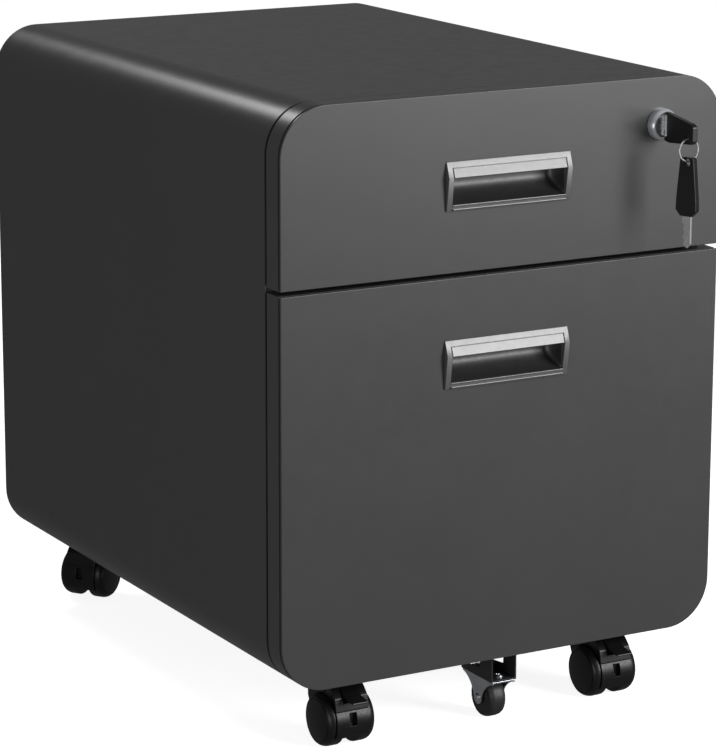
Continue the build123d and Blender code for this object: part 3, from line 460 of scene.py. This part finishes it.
def anti_tip():
    """Wheel with a rounded tread and hub ring, riveted axle, fork and bracket."""
    joint = joint_of("anti_tip_wheel")
    bm = bmesh.new()
    lathe(bm, joint["pos_m"], joint["axis"], in_mm(TIP_WHEEL), steps=96, closed=True)
    as_piece(bm, "anti_tip_wheel_finished", ["anti_tip_wheel"])
    low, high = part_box("anti_tip_axle")
    half = (high.x - low.x) / 2
    rivet = [(0, -half), (2.2 * MM, -half), (3.2 * MM, -half + 0.7 * MM), (3.4 * MM, -half + 1.2 * MM),
             (2.0 * MM, -half + 1.2 * MM)]
    profile = rivet + [(radius, -along) for radius, along in reversed(rivet)]
    bm = bmesh.new()
    lathe(bm, (low + high) / 2, (1, 0, 0), profile, steps=40)
    as_piece(bm, "anti_tip_rivet", ["anti_tip_axle"])
    softened("anti_tip_fork", 0.3)
    softened("anti_tip_bracket", 0.35)
    screws("anti_tip_screws", (0, 0, 1), 2.0)


# ---- camera, floor and light --------------------------------------------------------------
CAMERA_PLACE = Vector((-1.288845, FRONT_Y - 2.057445, 0.870033))
CAMERA_YAW, CAMERA_PITCH, CAMERA_ROLL = 0.5129712, 0.2353866, 0.0022599
CAMERA_LENS = 156.2


def camera():
    """The photograph's viewpoint: yaw to the right of +Y, pitch down, a trace of roll."""
    yaw, pitch, roll = CAMERA_YAW, CAMERA_PITCH, CAMERA_ROLL
    forward = Vector((
        math.sin(yaw) * math.cos(pitch), math.cos(yaw) * math.cos(pitch), -math.sin(pitch)
    ))
    level = Vector((math.cos(yaw), -math.sin(yaw), 0.0))
    upward = level.cross(forward)
    right = math.cos(roll) * level + math.sin(roll) * upward
    up = math.cos(roll) * upward - math.sin(roll) * level
    turn = Matrix((right, up, -forward)).transposed()
    data = bpy.data.cameras.new("camera")
    data.lens = CAMERA_LENS
    data.clip_end = 60.0
    eye = bpy.data.objects.new("camera", data)
    eye.matrix_world = Matrix.Translation(CAMERA_PLACE) @ turn.to_4x4()
    bpy.context.scene.collection.objects.link(eye)
    bpy.context.scene.camera = eye


def floor():
    """Plain pale floor."""
    bm = bmesh.new()
    bmesh.ops.create_grid(bm, x_segments=1, y_segments=1, size=20.0)
    mesh = bpy.data.meshes.new("floor")
    bm.to_mesh(mesh)
    bm.free()
    material, tree, shader = new_material("pale_floor", 0.0, 0.2)
    shader.inputs["Emission Color"].default_value = (1.0, 1.0, 1.0, 1.0)
    shader.inputs["Emission Strength"].default_value = 0.88
    tree.links.new(
        two_colours(tree, noise(tree, 3.0), (0.84, 0.84, 0.84), (0.86, 0.86, 0.86)),
        shader.inputs["Base Color"],
    )
    tree.links.new(span(tree, noise(tree, 9.0), 0.75, 0.85), shader.inputs["Roughness"])
    mesh.materials.append(material)
    ground = bpy.data.objects.new("floor", mesh)
    bpy.context.scene.collection.objects.link(ground)
    ground.visible_glossy = False
    ground.visible_diffuse = False


def soft_box(name, place, target, size, power):
    """One rectangular studio light aimed at a point."""
    data = bpy.data.lights.new(name, "AREA")
    data.shape = "RECTANGLE"
    data.size, data.size_y = size
    data.energy = power
    lamp = bpy.data.objects.new(name, data)
    lamp.location = place
    lamp.visible_camera = False
    lamp.rotation_euler = (Vector(target) - Vector(place)).to_track_quat("-Z", "Y").to_euler()
    bpy.context.scene.collection.objects.link(lamp)


def studio():
    """White surroundings of low strength and six soft boxes."""
    world = bpy.data.worlds.new("studio")
    world.use_nodes = True
    back = world.node_tree.nodes["Background"]
    back.inputs["Color"].default_value = (1.0, 1.0, 1.0, 1.0)
    back.inputs["Strength"].default_value = 0.12
    bpy.context.scene.world = world
    middle = (CAD_BOX[0][0] + CAD_BOX[1][0]) / 2, FRONT_Y, CAD_BOX[1][2] / 2
    lock = middle_of("lock_plug")
    upper_front, corner, body = (0.0, FRONT_Y, 0.40), (-0.19, 0.0, 0.5), (0.0, 0.0, 0.5)
    lamps = [  # name, place, aimed at, size, watts
        ("key_right_front", (1.20, FRONT_Y - 1.80, 0.94), middle, (1.0, 1.0), 38),
        ("low_right_front", (1.05, FRONT_Y - 1.75, 0.22), middle, (1.2, 0.4), 2.2),
        ("lip_front", (0.76, FRONT_Y - 1.16, 1.30), upper_front, (0.6, 0.5), 5),
        ("rim_left_back", (-0.56, 2.40, 2.40), corner, (0.8, 0.45), 20),
        ("panel_right_back", (2.2, 3.9, 1.2), body, (2.4, 1.2), 0.5),
        ("low_left_front", (-1.15, FRONT_Y - 0.8, 0.30), lock, (1.0, 0.55), 4.2),
    ]
    for lamp in lamps:
        soft_box(*lamp)
    bpy.context.scene.view_settings.view_transform = "Standard"


# ---- finishes on the CAD nodes ------------------------------------------------------------
for node_name, node_object in NODES.items():
    node_object.data.materials.clear()
    node_object.data.materials.append(MATERIALS[SLOT_OF[node_name]])

# ---- modelled pieces ----------------------------------------------------------------------
LOCK_EDGES = {
    "lock_plug": 0.2, "key_bow": 0.8, "key_blade": 0.2, "spare_key_bow": 0.7, "spare_key_blade": 0.2,
    "lock_nut": 0.4,
}
CASTER_EDGE_MM = 0.5
for drawer_name in ("upper", "lower"):
    handle(drawer_name)
lock_bezel()
for node_name, edge_mm in LOCK_EDGES.items():
    softened(node_name, edge_mm)
for caster_name in ("front_left", "front_right", "rear_left", "rear_right"):
    caster_wheel(caster_name, "a")
    caster_wheel(caster_name, "b")
    softened(f"{caster_name}_caster_hood", CASTER_EDGE_MM)
    if caster_name.startswith("front"):
        softened(f"{caster_name}_caster_brake", CASTER_EDGE_MM)
anti_tip()
screws("back_panel_screws", (0, 1, 0), 2.0)
screws("caster_plate_screws", (0, 0, -1), 2.2)
camera()
floor()
studio()
